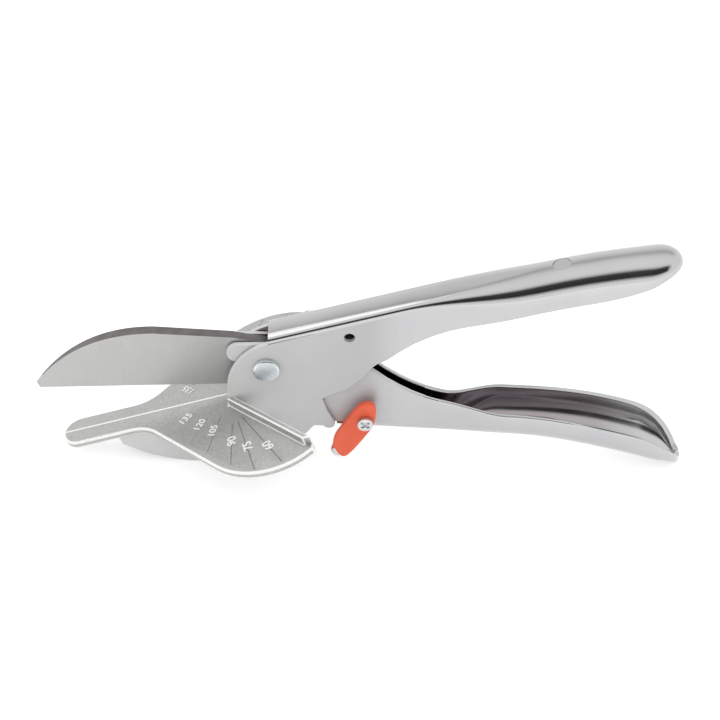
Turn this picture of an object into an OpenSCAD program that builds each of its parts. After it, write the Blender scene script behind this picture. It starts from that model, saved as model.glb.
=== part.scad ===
// Mitre shears: two pressed-steel levers on one pivot, a wedge blade and a cast mitre table.
// X runs along the handles, Y from the near side to the far side, and Z is up.
// Side outlines are drawn about the pivot axis with the jaws open, then set down on the bench.

/* [Jaw] */
// Angle that the blade swings through from open to closed, degrees
jaw_angle = 16; // [14:0.1:18]
// Dip of the open blade's edge towards its tip, degrees
edge_dip = 1.2; // [0:0.1:2]
// Distance from the pivot axis to the cutting ridge of the table
ridge_offset = 12.7; // [12:0.1:14]
// Gap left between the blade's edge and the ridge when closed
edge_gap = 0.3; // [0.2:0.05:0.6]

/* [Blade] */
// Length from the pivot to the blade's tip
blade_reach = 88.2; // [80:0.1:94]
// Height of the spine above the pivot axis
spine_z = 13.7; // [11:0.1:15]
// Thickness left along the cutting edge
edge_t = 0.3; // [0.2:0.05:0.6]
// Where the blade's parallel tang starts, in front of the pivot
tang_front = 8.5; // [7:0.5:10]
// Diameter of the rivets that hold the blade
rivet_d = 3; // [2:0.1:4]

/* [Pressed levers] */
// Outer width of the upper lever across its flat side plates
upper_w = 12.6; // [12:0.1:16]
// Sheet thickness of the upper lever
upper_t = 2; // [1.6:0.1:2.2]
// Sheet thickness of the lower lever
lower_t = 1.8; // [1.5:0.1:1.9]
// Gap between the two levers on each side
side_gap = 0.3; // [0.2:0.05:0.5]
// Gap between the blade's tang and each lower side plate
tang_gap = 0.05; // [0.03:0.01:0.1]
// Outer width of both hand grips
grip_w = 19.4; // [17:0.1:23]

/* [Upper handle] */
// Distance from the pivot to the end of the upper grip
upper_reach = 151.5; // [148:0.1:165]
// Height of the top web above the pivot axis
web_z = 13.4; // [12.8:0.1:16]
// Radius of the bend between the top web and a side plate, at the front
shoulder_r = 1.5; // [1:0.1:2.5]
// Depth of the grip's sides below its top
upper_depth = 14; // [12:0.1:16]
// Diameter of the through hole for hanging the shears
hang_hole_d = 4; // [3:0.1:5]
// Diameter of the flat coined into the top of the grip
coin_d = 6.8; // [5:0.1:8]

/* [Lower handle] */
// Distance from the pivot to the end of the lower grip
lower_reach = 161; // [158:0.1:172]
// Radius of the bend between the lower lever's bottom web and its sides, at the front
neck_r = 1.5; // [1:0.1:2.5]
// Depth of the lower grip's sides above its bottom line
lower_depth = 13.8; // [11:0.1:15]
// Height of the claw's blunt end
claw_depth = 4.5; // [2:0.1:6]

/* [Mitre table] */
// Length of the table in front of the pivot
table_reach = 88.3; // [80:0.1:94]
// Thickness of the table
table_t = 3; // [2.5:0.1:3.6]
// Width of the table's narrow tongue
tongue_w = 14.6; // [13.4:0.1:18]
// Half width of the table across one wing
wing_half = 45.3; // [42:0.1:50]
// Radius of a wing's round edge
wing_r = 28.4; // [26:0.1:30]
// Slope of each wing away from the ridge, degrees
wing_slope = 3; // [1:0.1:4]
// Height of the stop fences above the wings
fence_h = 3.9; // [2:0.1:6]
// Thickness of the stop fences
fence_t = 2.2; // [1.8:0.1:3.2]
// Distance from the ridge to the outer end of a fence
fence_end = 36.8; // [34:0.1:38]
// Width of the engraved angle lines
line_w = 0.4; // [0.3:0.05:0.6]
// Depth of the engraved angle lines
line_depth = 0.3; // [0.2:0.05:0.5]
// Diameter of the two table screws
table_screw_d = 4; // [3:0.1:4.5]

/* [Pivot] */
// Diameter of the pivot bolt
bolt_d = 6; // [5:0.1:7]
// Width across the flats of the pivot nut
bolt_af = 10; // [9:0.1:12]
// Diameter of the round bolt head
bolt_head_d = 10; // [9:0.1:12]
// Width of the sloped rim around the bolt head's flat face
bolt_rim = 0.9; // [0.4:0.1:1.4]
// Height of the bolt head
bolt_head_h = 2.3; // [1.8:0.1:4]
// Height of the pivot nut
bolt_nut_h = 5; // [4:0.1:6]
// Diameter of the washer under the pivot nut
washer_d = 12; // [11:0.1:14]
// Thickness of the washer under the pivot nut
washer_t = 1.2; // [0.8:0.1:1.6]
// Outer diameter of the sleeve that the blade turns on
sleeve_d = 9; // [8.6:0.1:10]
// Radial gap of a turning fit
run_gap = 0.05; // [0.03:0.01:0.08]
// Radial gap of a fixed fit
fit_gap = 0.03; // [0.02:0.01:0.05]

/* [Lock] */
// Angle that the lock lever swings from free to locked, degrees
lock_angle = 32.4; // [30:0.1:34]
// Distance from the lock screw to the catch stud
lock_reach = 19.1; // [18.6:0.05:19.4]
// Thickness of the lock lever
lock_t = 2.8; // [2:0.1:4]
// Gap between the lock lever and the upper lever's side plate
lock_gap = 0.35; // [0.3:0.05:0.6]
// Diameter of the lock screw
lock_screw_d = 4; // [3:0.1:4.2]
// Diameter of the lock screw's head
lock_head_d = 5.9; // [5.6:0.1:7]
// Height of the lock screw's head
lock_head_h = 1.8; // [1.5:0.1:2.6]
// Diameter of the catch stud
stud_d = 4.8; // [4:0.1:5]

/* [Return spring] */
// Diameter of the spring wire
wire_d = 1; // [0.8:0.05:1.1]
// Mean radius of the spring's coil
coil_r = 4; // [3.6:0.1:4.4]
// Full turns of the coil
coil_turns = 1; // [1:1:2]
// Free gap between neighbouring turns
coil_gap = 0.7; // [0.6:0.05:0.8]

/* [Hidden] */
$fn = 48;

steel = "#c9cbcc";
chrome = "#dfe1e3";
zinc_cast = "#b2b2aa";
zinc_plate = "#b9c3cb";
lock_red = "#e2583f";

// Half widths from the outside in, with the side plates set just inside the bent sheet
upper_half = upper_w / 2;
upper_inner = upper_half - upper_t;
lower_half = upper_inner - side_gap;
lower_inner = lower_half - lower_t;
blade_t = 2 * (lower_inner - tang_gap);
grip_half = grip_w / 2;
skin = 0.05;

// Distance from the pivot axis to the blade's edge, and slope of the table under the open blade
edge_offset = ridge_offset - edge_gap;
table_angle = jaw_angle + edge_dip;

// The wings: centre of the round edge, as distance in front of the pivot's foot and across
wing_u = 3.9;
wing_v = wing_half - wing_r;
// Inner face of a 45 degree fence: distance in front plus distance across is constant on it
fence_sum = 25.9;
fence_back = fence_sum - fence_t * sqrt(2);
// The straight 45 degree flank of a wing touches its round edge
flank_sum = wing_u + wing_v + wing_r * sqrt(2);
// Rounding between tongue and flank, and the short flat at the tongue's tip
flank_r = 14;
tip_flat = 0.5;
// End of the table's narrow strip, in front of the pivot's foot
table_heel = 2;
// Seat of the table in front of the side plates, and the clearance round it
seat_u = 19.2;
seat_gap = 0.2;
// The tang under the table: front end, depth, and the two screw places in front and below
table_tang_u = 60;
table_tang_h = 19.5;
table_screw_at = [[27, -11], [8, -15]];
table_head_d = 7;
table_head_h = 2;
table_nut_af = 7;
table_nut_h = 3.2;
thread_out = 1;

// Top line of the upper lever: a slope that eases off along the grip, and drops at the end
web_front = 0.9;
top_slope = 0.287;
top_ease = 0.00187;
ease_from = 95;
end_drop = 6;
end_drop_len = 8.5;
function top_z(x) = web_z + top_slope * x - top_ease * pow(max(0, x - ease_from), 2)
    - end_drop * (1 - round_off(x, upper_reach - end_drop_len, end_drop_len));
// The upper grip closes in plan over the first length, and its sides run out over the second
upper_close_len = 13.5;
upper_runout_len = 33.5;
// Bottom line of the lower lever: nearly straight, then bending down to the claw
lower_z = -29.09;
lower_slope = -0.075;
lower_bend = 0.0029;
function base_z(x) = lower_z + lower_slope * x - lower_bend * pow(max(0, x - ease_from), 2);
lower_close_len = 14;
lower_runout_len = 20;
lower_web_front = 26;
// The levers' sides grow deeper in front of this place
deep_from = 75;
upper_deepen = 0.0098;
lower_deepen = 0.0122;
// The side plates end inside the bent sheets, which reach their full depth just before
plate_end = 60;
full_depth = [plate_end - 14, plate_end - 4];
bend_cover = 2.4;
plate_lap = 0.4;
edge_inset = 0.1;
least_depth = 1.5;
least_half = 1;
// The grips widen between these distances, and their bends open out between others
upper_flare = [50, 95];
upper_bend = [50, 105];
lower_flare = [67, 91];
// Behind its flare the lower grip widens a little more on each side
lower_widen = [91, 135];
claw_widen = 1.6;

// Front of the upper side plates, the belly that the shears rest on, and the lock's catch
front_c = [7.9, -10.2];
front_r = 23.1;
front_arc = [109, 188];
belly_c = [-25, 12.6];
belly_r = 60.2;
belly_arc = [238, 310.7];
belly_lead = 6;
catch_r = 2.4;
catch_in = 1.4;
catch_arc = [-100, 90];
catch_lead = [-5.6, -1];
// Back edge of the upper side plates, from the catch up to the grip
plate_back = [[22.3, -21.2], [20.6, -15.4], [24, -13.4], [30.4, -10.8], [36.1, -5], [39.4, -0.2], [41.6, 1.8]];

// Nose of the lower side plates, with a blade rivet in it, and their edges next to it
nose_c = [-10.6, 5.4];
nose_r = 4.3;
nose_arc = [90, 250];
nose_foot = [[-8, -1], [-4.5, -9.7]];
nose_back = 5.5;
rivet_at = [[-8, 4.2], [9.4, 0.8]];
// Front lower edge of the lower side plates, which meets the table's tang when open
stop_from = [2.9, -9.7];
stop_to = [19.6, -28];
stop_gap = 0.3;

// The blade: heel of its edge, its blunt tip, and the spine's curve along from the tip and above the spine
heel_x = -3;
tip_lift = 2.8;
tip_len = 0.9;
spine_curve = [[10.9, -9.6], [25.9, 0], [46.2, 0]];
// Back of the spine down to the tang, as place along and height above the spine, and the tang's round end
spine_back = [[-12.7, -2.2], [-7.6, -3.4], [6, -5.5]];
tang_r = 4.4;
tang_arc = 80;
tang_foot = [2, -8.8];
tang_low = -10.1;

hang_hole_at = [31.1, 14.5];
coin_x = 108;
coin_depth = 0.6;

// The lock's screw, its catch stud when the lock is free, and the lever's outline round the screw
lock_at = [36.9, -24.2];
stud_angle = 237.2;
lock_edge = [[-0.4, 8.1], [2.4, 8.1], [4, 5.4], [3.8, 0.2], [1.6, -5.7], [-6.9, -18], [-7.8, -18.3],
    [-12, -13.8], [-11.7, -8.6], [-8.9, -3.3], [-5.5, 2.6], [-2.4, 6.9]];
lock_washer_t = 0.5;
lock_washer_inset = 0.15;
lock_nut_af = 7;
lock_nut_h = 2.8;
lock_spacer_d = 8;
recess_w = 1.1;
recess_l = 4;
recess_depth = 1;
// Cover in front of the stud, and the tab behind the toe that holds it
stud_wall = 0.5;
tab_wall = 0.8;
tab_t = 1.2;

// The return spring sits on a post in the lower lever
post_at = [19, -4];
post_gap = 0.3;
post_shank_d = 3;
wire_sides = 6;
turn_rings = 8;
upper_leg_gap = 0.3;
upper_leg_foot = 1.2;
lower_leg_end = [31, -27.5];

// Points along an arc
function arc(c, r, a0, a1, n) =
    [for (i = [0:n]) c + r * [cos(a0 + (a1 - a0) * i / n), sin(a0 + (a1 - a0) * i / n)]];
// Turns a point of the side view about the pivot, anticlockwise seen from the near side
function turn(p, a) = [p[0] * cos(a) - p[1] * sin(a), p[0] * sin(a) + p[1] * cos(a)];
// A point of the table, from its distance in front of the pivot's foot and its height above the ridge
function table_point(u, h) = turn([-u, h - ridge_offset], table_angle);
// A point of the blade's edge line, from its place along the edge and its lift above it
function edge_point(x, lift) = turn([x, lift - edge_offset], edge_dip);
// A point of a cubic curve
function cubic(p, t) = pow(1 - t, 3) * p[0] + 3 * t * pow(1 - t, 2) * p[1]
    + 3 * t * t * (1 - t) * p[2] + pow(t, 3) * p[3];
// Smooth step from 0 to 1 between two places
function ease(x, from, to) = let (t = min(1, max(0, (x - from) / (to - from)))) t * t * (3 - 2 * t);
function mix(a, b, t) = a + (b - a) * t;
// A quarter ellipse: 1 up to a place, then falling to 0 over a length
function round_off(x, from, len) = sqrt(max(0, 1 - pow(max(0, x - from) / len, 2)));

// Sets the drawn pose down: the belly and the claw's tip both touch the bench
claw_tip = [lower_reach, base_z(lower_reach)];
claw_to_belly = belly_c - claw_tip;
pitch = atan2(claw_to_belly[0], claw_to_belly[1]) + acos(belly_r / norm(claw_to_belly));
rest_z = -turn(claw_tip, pitch)[1];
blade_tip = edge_point(-blade_reach, tip_lift);
rest_x = -(turn(blade_tip, pitch)[0] + turn(claw_tip, pitch)[0]) / 2;

module placed() translate([rest_x, 0, rest_z]) rotate([0, -pitch, 0]) children();
// A side outline given thickness between two distances across
module slab(y0, y1) translate([0, y1, 0]) rotate([90, 0, 0]) linear_extrude(y1 - y0) children();
// A round pin across the shears
module pin(at, y0, y1, d) translate([at[0], y1, at[1]]) rotate([90, 0, 0]) cylinder(h = y1 - y0, d = d);
// A hexagon across the shears, with one flat up
module hex(at, y0, y1, af)
    translate([at[0], y1, at[1]]) rotate([90, 0, 0]) cylinder(h = y1 - y0, d = af / cos(30), $fn = 6);
// The same solid on both sides of the middle plane
module both_sides() {
    children();
    mirror([0, 1, 0]) children();
}
module in_table_frame() rotate([0, -table_angle, 0]) translate([0, 0, -ridge_offset]) children();

// A bent channel: rings of an outer and an inner U, joined into one closed skin
section_steps = 6;
function u_path(w, low, high, ry, rz) = concat([[-w, low]],
    [for (i = [0:section_steps]) let (a = 90 * i / section_steps)
        [ry - w - ry * cos(a), high - rz + rz * sin(a)]],
    [for (i = [0:section_steps]) let (a = 90 * i / section_steps)
        [w - ry + ry * sin(a), high - rz + rz * cos(a)]],
    [[w, low]]);
function bent(w, low, high, r) = let (ry = min(r, w - 0.2), rz = min(r, 0.85 * (high - low)))
    u_path(w, low, high, ry, rz);
function reversed(list) = [for (i = [len(list) - 1:-1:0]) list[i]];
function ring(x, inner_x, w, low, high, r, t) = let (
        outer = bent(w, low, high, r),
        inner = bent(max(w - t, 0.5), low, max(high - t, low + 0.6), max(r - t, 0.6)))
    concat([for (p = outer) [x, p[0], p[1]]], [for (p = reversed(inner)) [inner_x, p[0], p[1]]]);
module channel(rings) {
    m = len(rings[0]);
    last = len(rings) - 1;
    half = m / 2;
    walls = [for (i = [0:last - 1]) for (j = [0:m - 1]) let (k = (j + 1) % m)
        each [[i * m + j, i * m + k, (i + 1) * m + k], [i * m + j, (i + 1) * m + k, (i + 1) * m + j]]];
    ends = [for (j = [0:half - 2]) let (a = m - 1 - j, b = last * m)
        each [[j, a, a - 1], [j, a - 1, j + 1], [b + j, b + a - 1, b + a], [b + j, b + j + 1, b + a - 1]]];
    polyhedron([for (r = rings) each r], concat(walls, ends));
}

// The upper lever's bent sheet: web, shoulders and grip with its closed end
upper_close_at = upper_reach - upper_close_len;
upper_runout_at = upper_reach - upper_runout_len;
function shoulder(x) = mix(shoulder_r, grip_half, ease(x, upper_bend[0], upper_bend[1]));
function upper_edge(x) = upper_depth + upper_deepen * pow(max(0, deep_from - x), 2);
function upper_side(x) = mix(shoulder(x) + bend_cover, upper_edge(x), ease(x, full_depth[0], full_depth[1]))
    * round_off(x, upper_runout_at, upper_runout_len);
function upper_ring(x) = let (
        plan = round_off(x, upper_close_at, upper_close_len),
        w = max(least_half, mix(upper_half, grip_half, ease(x, upper_flare[0], upper_flare[1])) * plan),
        inner_x = web_front + (x - web_front) * (1 - upper_t / (upper_reach - web_front)))
    ring(x, inner_x, w, top_z(x) - max(least_depth, upper_side(x)), top_z(x), shoulder(x), upper_t);
upper_stations = concat(
    [for (i = [0:2]) mix(web_front, full_depth[0], i / 3)],
    [for (x = [full_depth[0]:5:upper_flare[1] - 1]) x],
    [for (i = [0:3]) mix(upper_flare[1], upper_close_at, i / 4)],
    [for (i = [0:7]) upper_close_at + upper_close_len * sin(90 * i / 7)]);

// One flat side plate of the upper lever, from the web down to the belly
catch_mid = let (stud = lock_at + lock_reach * [cos(stud_angle - lock_angle), sin(stud_angle - lock_angle)])
    turn(stud, jaw_angle / 2);
catch_c = catch_mid * (1 - catch_in / norm(catch_mid));
catch_dir = atan2(catch_c[1], catch_c[0]);
seat_low = -table_t - upper_half * tan(wing_slope) - seat_gap;
module upper_plate_outline() polygon(concat(
    [for (x = [plate_end:-10:10]) [x, top_z(x) - shoulder(x) - plate_lap]],
    [[web_front + plate_lap, top_z(web_front) - shoulder_r - plate_lap]],
    arc(front_c, front_r, front_arc[0], front_arc[1], 12),
    [table_point(seat_u - seat_gap, 0), table_point(seat_u - seat_gap, seat_low)],
    [table_point(table_tang_u + belly_lead, seat_low)],
    arc(belly_c, belly_r, belly_arc[0], belly_arc[1], 16),
    [catch_c + catch_lead],
    arc(catch_c, catch_r, catch_dir + catch_arc[0], catch_dir + catch_arc[1], 8),
    plate_back,
    [for (x = [plate_end - 15:5:plate_end]) [x, top_z(x) - upper_edge(x) + edge_inset]]));

module upper_handle() color(chrome) placed() difference() {
    union() {
        channel([for (x = upper_stations) upper_ring(x)]);
        both_sides() slab(upper_inner + skin, upper_half - skin) upper_plate_outline();
    }
    pin([0, 0], -upper_half - 1, upper_half + 1, bolt_d + 2 * fit_gap);
    pin(hang_hole_at, -upper_half - 1, upper_half + 1, hang_hole_d);
    for (p = table_screw_at)
        pin(table_point(p[0], p[1]), -upper_half - 1, upper_half + 1, table_screw_d + 2 * fit_gap);
    translate([coin_x, 0, top_z(coin_x) - coin_depth])
        rotate([0, -atan(top_slope - 2 * top_ease * (coin_x - ease_from)), 0]) cylinder(h = 5, d = coin_d);
}

// One half of the table seen from above, with distances in front as negative x
tip_r = tongue_w / 2 - tip_flat;
module half_table_outline() let (
        flank_c = [flank_sum - tongue_w / 2 + flank_r * (sqrt(2) - 1), tongue_w / 2 + flank_r],
        end_u = fence_back - fence_end,
        end_angle = acos((end_u - wing_u) / wing_r))
    polygon([for (p = concat(
        [[table_heel, 0], [table_heel, lower_half]],
        [[seat_u + seat_gap, lower_half], [seat_u + seat_gap, upper_half + seat_gap]],
        [[fence_back - upper_half - seat_gap, upper_half + seat_gap], [end_u, fence_end]],
        arc([wing_u, wing_v], wing_r, end_angle, 45, 16),
        arc(flank_c, flank_r, 225, 270, 6),
        [for (a = [90:-15:0]) [table_reach - tip_r + tip_r * cos(a), tongue_w / 2 * sin(a)]])) [-p[0], -p[1]]]);
// The strip that a 45 degree fence stands on
module fence_strip() let (from = upper_half + seat_gap)
    polygon([[from - fence_sum, -from], [from - fence_back, -from], [fence_end - fence_back, -fence_end],
        [fence_end - fence_sum, -fence_end]]);
// Engraved line of one angle: start in front and across, and length
angle_lines = [[60, 13.9, 14.7, 32], [75, 15.6, 16.6, 27.5], [90, 17.9, 17, 21], [105, 23, 12, 17],
    [120, 28, 10.5, 13], [135, 34.5, 10.5, 6]];
module angle_groove(line) translate([-line[1], -line[2], -line_depth]) rotate(-line[0])
    translate([0, -line_w / 2, 0]) cube([line[3], line_w, 1]);
module half_table() rotate([wing_slope, 0, 0]) difference() {
    union() {
        translate([0, 0, -table_t]) linear_extrude(table_t) half_table_outline();
        translate([0, 0, -table_t / 2]) linear_extrude(table_t / 2 + fence_h) fence_strip();
    }
    for (line = angle_lines) angle_groove(line);
}
// The tang between the side plates; its back face is the stop for the open jaws
stop_dir = (stop_to - stop_from) / norm(stop_to - stop_from);
function stop_point(h) = let (
        a = turn(stop_from, -table_angle),
        d = turn(stop_dir, -table_angle),
        s = (h - ridge_offset - a[1]) / d[1])
    [a[0] + d[0] * s + stop_gap / d[1], h];
module table_tang() slab(-lower_half, lower_half) polygon([
    [-table_tang_u, -table_t / 2], [-table_heel, -table_t / 2], [-table_heel, -table_t],
    stop_point(-table_t - 1), stop_point(-table_tang_h), [-table_tang_u / 2, -table_tang_h]]);

module mitre_table() color(zinc_cast) placed() in_table_frame() difference() {
    union() {
        both_sides() half_table();
        table_tang();
    }
    for (p = table_screw_at) pin([-p[0], p[1]], -upper_half, upper_half, table_screw_d + 2 * fit_gap);
}

module table_screws() color(zinc_plate) placed() for (p = table_screw_at) let (at = table_point(p[0], p[1]))
    difference() {
        union() {
            pin(at, -upper_half - table_head_h, -upper_half, table_head_d);
            pin(at, -upper_half - 0.1, upper_half + table_nut_h + thread_out, table_screw_d);
        }
        translate([at[0], -upper_half - table_head_h, at[1]])
            cube([table_head_d + 1, 2 * recess_depth, recess_w], center = true);
    }

module table_nuts() color(zinc_plate) placed() for (p = table_screw_at) let (at = table_point(p[0], p[1]))
    difference() {
        hex(at, upper_half, upper_half + table_nut_h, table_nut_af);
        pin(at, upper_half - 1, upper_half + table_nut_h + 1, table_screw_d + 2 * fit_gap);
    }

// Flat face of the bolt head, and the width of the cone that slopes its rim
bolt_face = bolt_head_d - 2 * bolt_rim;
bolt_cone = bolt_face + 4 * bolt_head_h;
module pivot_bolt() color(zinc_plate) placed() union() {
    intersection() {
        pin([0, 0], -upper_half - bolt_head_h, -upper_half, bolt_head_d);
        translate([0, -upper_half - bolt_head_h, 0]) rotate([-90, 0, 0])
            cylinder(h = bolt_head_h, d1 = bolt_face, d2 = bolt_cone);
    }
    pin([0, 0], -upper_half - bolt_head_h / 2, upper_half + washer_t + bolt_nut_h + thread_out, bolt_d);
}

module pivot_washer() color(zinc_plate) placed() difference() {
    pin([0, 0], upper_half, upper_half + washer_t, washer_d);
    pin([0, 0], upper_half - 1, upper_half + washer_t + 1, bolt_d + 2 * fit_gap);
}

module pivot_nut() color(zinc_plate) placed() difference() {
    hex([0, 0], upper_half + washer_t, upper_half + washer_t + bolt_nut_h, bolt_af);
    pin([0, 0], upper_half, upper_half + washer_t + bolt_nut_h + 1, bolt_d + 2 * fit_gap);
}

// The lower lever's bent sheet: bottom web, neck and grip with its claw
lower_close_at = lower_reach - lower_close_len;
lower_runout_at = lower_reach - lower_runout_len;
// Height of the lower lever's edges above its bottom line
function lower_edge(x) = lower_depth + lower_deepen * pow(max(0, deep_from - x), 2);
function lower_side(x) = mix(neck_r + bend_cover, lower_edge(x), ease(x, full_depth[0], full_depth[1]))
    * round_off(x, lower_runout_at, lower_runout_len);
function lower_ring(x) = let (
        flare = ease(x, lower_flare[0], lower_flare[1]),
        plan = round_off(x, lower_close_at, lower_close_len),
        wide = mix(lower_half, grip_half, flare) + claw_widen * ease(x, lower_widen[0], lower_widen[1]),
        w = max(least_half, wide * plan),
        inner_x = lower_web_front + (x - lower_web_front) * (1 - lower_t / (lower_reach - lower_web_front)),
        edge = base_z(x) + max(claw_depth, lower_side(x)))
    [for (p = ring(x, inner_x, w, -edge, -base_z(x), mix(neck_r, grip_half, flare), lower_t))
        [p[0], -p[1], -p[2]]];
lower_stations = concat(
    [for (i = [0:1]) mix(lower_web_front, full_depth[0], i / 2)],
    [for (x = [full_depth[0]:5:lower_flare[0] - 1]) x],
    [for (i = [0:7]) mix(lower_flare[0], lower_flare[1], i / 8)],
    [for (i = [0:4]) mix(lower_flare[1], lower_close_at, i / 5)],
    [for (i = [0:7]) lower_close_at + lower_close_len * sin(90 * i / 7)]);

// One flat side plate of the lower lever, from its nose to the neck
module lower_plate_outline() polygon(concat(
    arc(nose_c, nose_r, nose_arc[0], nose_arc[1], 10),
    nose_foot,
    [stop_from, stop_to],
    [for (x = [lower_web_front + plate_lap, plate_end]) [x, base_z(x) + neck_r + plate_lap]],
    [for (x = [plate_end:-5:plate_end - 20]) [x, base_z(x) + lower_edge(x) - edge_inset]],
    [[nose_back, nose_c[1] + nose_r]]));

module lower_handle() color(chrome) placed() difference() {
    union() {
        channel([for (x = lower_stations) lower_ring(x)]);
        both_sides() slab(lower_inner + skin, lower_half - skin) lower_plate_outline();
    }
    pin([0, 0], -upper_half, upper_half, sleeve_d + 2 * fit_gap);
    for (at = rivet_at) pin(at, -upper_half, upper_half, rivet_d + 2 * fit_gap);
    pin(post_at, -upper_half, upper_half, post_shank_d + 2 * fit_gap);
    pin(lock_at, -upper_half, 0, lock_screw_d + 2 * fit_gap);
}

module pivot_sleeve() color(steel) placed() difference() {
    pin([0, 0], -lower_half - side_gap / 2, lower_half + side_gap / 2, sleeve_d);
    pin([0, 0], -upper_half, upper_half, bolt_d + 2 * run_gap);
}

// The blade: a full wedge in front, and a parallel tang between the lower side plates
spine_points = concat([blade_tip], [for (p = spine_curve) [p[0] - blade_reach, spine_z + p[1]]]);
module blade_outline() polygon(concat(
    [edge_point(heel_x, 0), edge_point(tip_len - blade_reach, 0), blade_tip],
    [for (i = [1:8]) cubic(spine_points, i / 8)],
    [for (p = spine_back) [p[0], spine_z + p[1]]],
    arc(rivet_at[1], tang_r, tang_arc, -tang_arc, 8),
    [tang_foot]));
// Section of the wedge across the edge, with room above the spine and below the edge
wedge_room = 4;
module wedge_section() let (low = -edge_offset - wedge_room, high = spine_z + wedge_room)
    polygon([[-edge_t / 2, low], [edge_t / 2, low], [edge_t / 2, -edge_offset], [blade_t / 2, spine_z],
        [blade_t / 2, high], [-blade_t / 2, high], [-blade_t / 2, spine_z], [-edge_t / 2, -edge_offset]]);
module blade() color(steel) placed() difference() {
    intersection() {
        slab(-blade_t / 2, blade_t / 2) blade_outline();
        union() {
            rotate([0, -edge_dip, 0]) translate([-blade_reach - 1, 0, 0]) rotate([90, 0, 90])
                linear_extrude(blade_reach) wedge_section();
            translate([-tang_front, -blade_t, tang_low]) cube([blade_reach, 2 * blade_t, 2 * blade_reach]);
        }
    }
    pin([0, 0], -upper_half, upper_half, sleeve_d + 2 * fit_gap);
    for (at = rivet_at) pin(at, -upper_half, upper_half, rivet_d + 2 * fit_gap);
}

module blade_rivets() color(steel) placed() for (at = rivet_at) pin(at, -lower_half, lower_half, rivet_d);

module spring_post() color(steel) placed() union() {
    pin(post_at, -lower_inner, lower_inner, 2 * (coil_r - wire_d / 2 - post_gap));
    pin(post_at, -lower_half, lower_half, post_shank_d);
}

// The spring's wire: a leg up to the web, the coil round the post, and a leg to the bottom web
web_under = top_z(post_at[0] + coil_r) - upper_t / cos(atan(top_slope));
leg_top = [post_at[0] + coil_r, web_under - wire_d / 2 - upper_leg_gap];
coil_sweep = 360 * coil_turns + 90;
coil_width = (wire_d + coil_gap) * coil_sweep / 360;
coil_steps = turn_rings * coil_sweep / 360;
function coil_point(i) = let (a = -coil_sweep * i / coil_steps)
    [post_at[0] + coil_r * cos(a), -coil_width / 2 + coil_width * i / coil_steps, post_at[1] + coil_r * sin(a)];
wire_points = concat(
    [for (i = [0:2]) [leg_top[0], -coil_width / 2, mix(leg_top[1], post_at[1] + upper_leg_foot, i / 2)]],
    [for (i = [0:coil_steps]) coil_point(i)],
    [for (i = [1:2]) let (from = coil_point(coil_steps)) [mix(from[0], lower_leg_end[0], i / 2), coil_width / 2,
        mix(from[2], lower_leg_end[1], i / 2)]]);
function unit(v) = v / norm(v);
wire_last = len(wire_points) - 1;
function wire_dir(i) = unit(wire_points[min(i + 1, wire_last)] - wire_points[max(i - 1, 0)]);
function wire_ring(i) = let (d = wire_dir(i), across = unit([0, 1, 0] - d[1] * d), side = cross(d, across))
    [for (j = [0:wire_sides - 1]) let (a = 360 * j / wire_sides)
        wire_points[i] + wire_d / 2 * (cos(a) * across + sin(a) * side)];
module tube(rings) {
    m = len(rings[0]);
    last = len(rings) - 1;
    polyhedron([for (r = rings) each r], concat(
        [for (i = [0:last - 1]) for (j = [0:m - 1]) let (k = (j + 1) % m)
            each [[i * m + j, (i + 1) * m + k, i * m + k], [i * m + j, (i + 1) * m + j, (i + 1) * m + k]]],
        [for (j = [1:m - 2]) each [[0, j, j + 1], [last * m, last * m + j + 1, last * m + j]]]));
}
// Least gap of the wire to itself, between points at least half a turn apart
wire_self_gap = min([for (i = [0:wire_last]) for (j = [i + turn_rings / 2:1:wire_last])
    norm(wire_points[i] - wire_points[j]) - wire_d]);
echo(wire_self_gap = wire_self_gap);

module return_spring() color(steel) placed() tube([for (i = [0:wire_last]) wire_ring(i)]);

// The lock stack stands out from the lower side plate, clear of the upper one
lock_y = -upper_half - lock_gap;
lock_front = lock_y - lock_t;

module lock_spacer() color(steel) placed() difference() {
    pin(lock_at, lock_y, -lower_half, lock_spacer_d);
    pin(lock_at, lock_y - 1, 0, lock_screw_d + 2 * fit_gap);
}

module lock_screw() color(zinc_plate) placed() let (head = lock_front - lock_washer_t) difference() {
    union() {
        pin(lock_at, head - lock_head_h, head, lock_head_d);
        pin(lock_at, head - 0.1, -lower_inner + lock_nut_h, lock_screw_d);
    }
    for (a = [45, 135]) translate([lock_at[0], head - lock_head_h, lock_at[1]]) rotate([0, a, 0])
        cube([recess_l, 2 * recess_depth, recess_w], center = true);
}

module lock_nut() color(zinc_plate) placed() difference() {
    hex(lock_at, -lower_inner, -lower_inner + lock_nut_h, lock_nut_af);
    pin(lock_at, -upper_half, upper_half, lock_screw_d + 2 * fit_gap);
}

// The lock lever: a bar with the screw in its upper half and the stud at its toe, half of it in view
stud_at = lock_at + lock_reach * [cos(stud_angle), sin(stud_angle)];
module lock_lever() color(lock_red) placed() difference() {
    union() {
        slab(lock_front, lock_y) polygon([for (p = lock_edge) lock_at + p]);
        pin(stud_at, lock_y - tab_t, lock_y, stud_d + 2 * tab_wall);
    }
    pin(lock_at, lock_front - 1, lock_y + 1, lock_screw_d + 2 * run_gap);
    pin(stud_at, lock_front + stud_wall, lock_y + 1, stud_d + 2 * fit_gap);
}

module lock_washer() color(steel) placed() difference() {
    pin(lock_at, lock_front - lock_washer_t, lock_front, lock_head_d - 2 * lock_washer_inset);
    pin(lock_at, lock_front - 1, lock_front + 1, lock_screw_d + 2 * fit_gap);
}

module lock_stud() color(steel) placed() pin(stud_at, lock_front + stud_wall, -lower_half - side_gap, stud_d);

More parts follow.
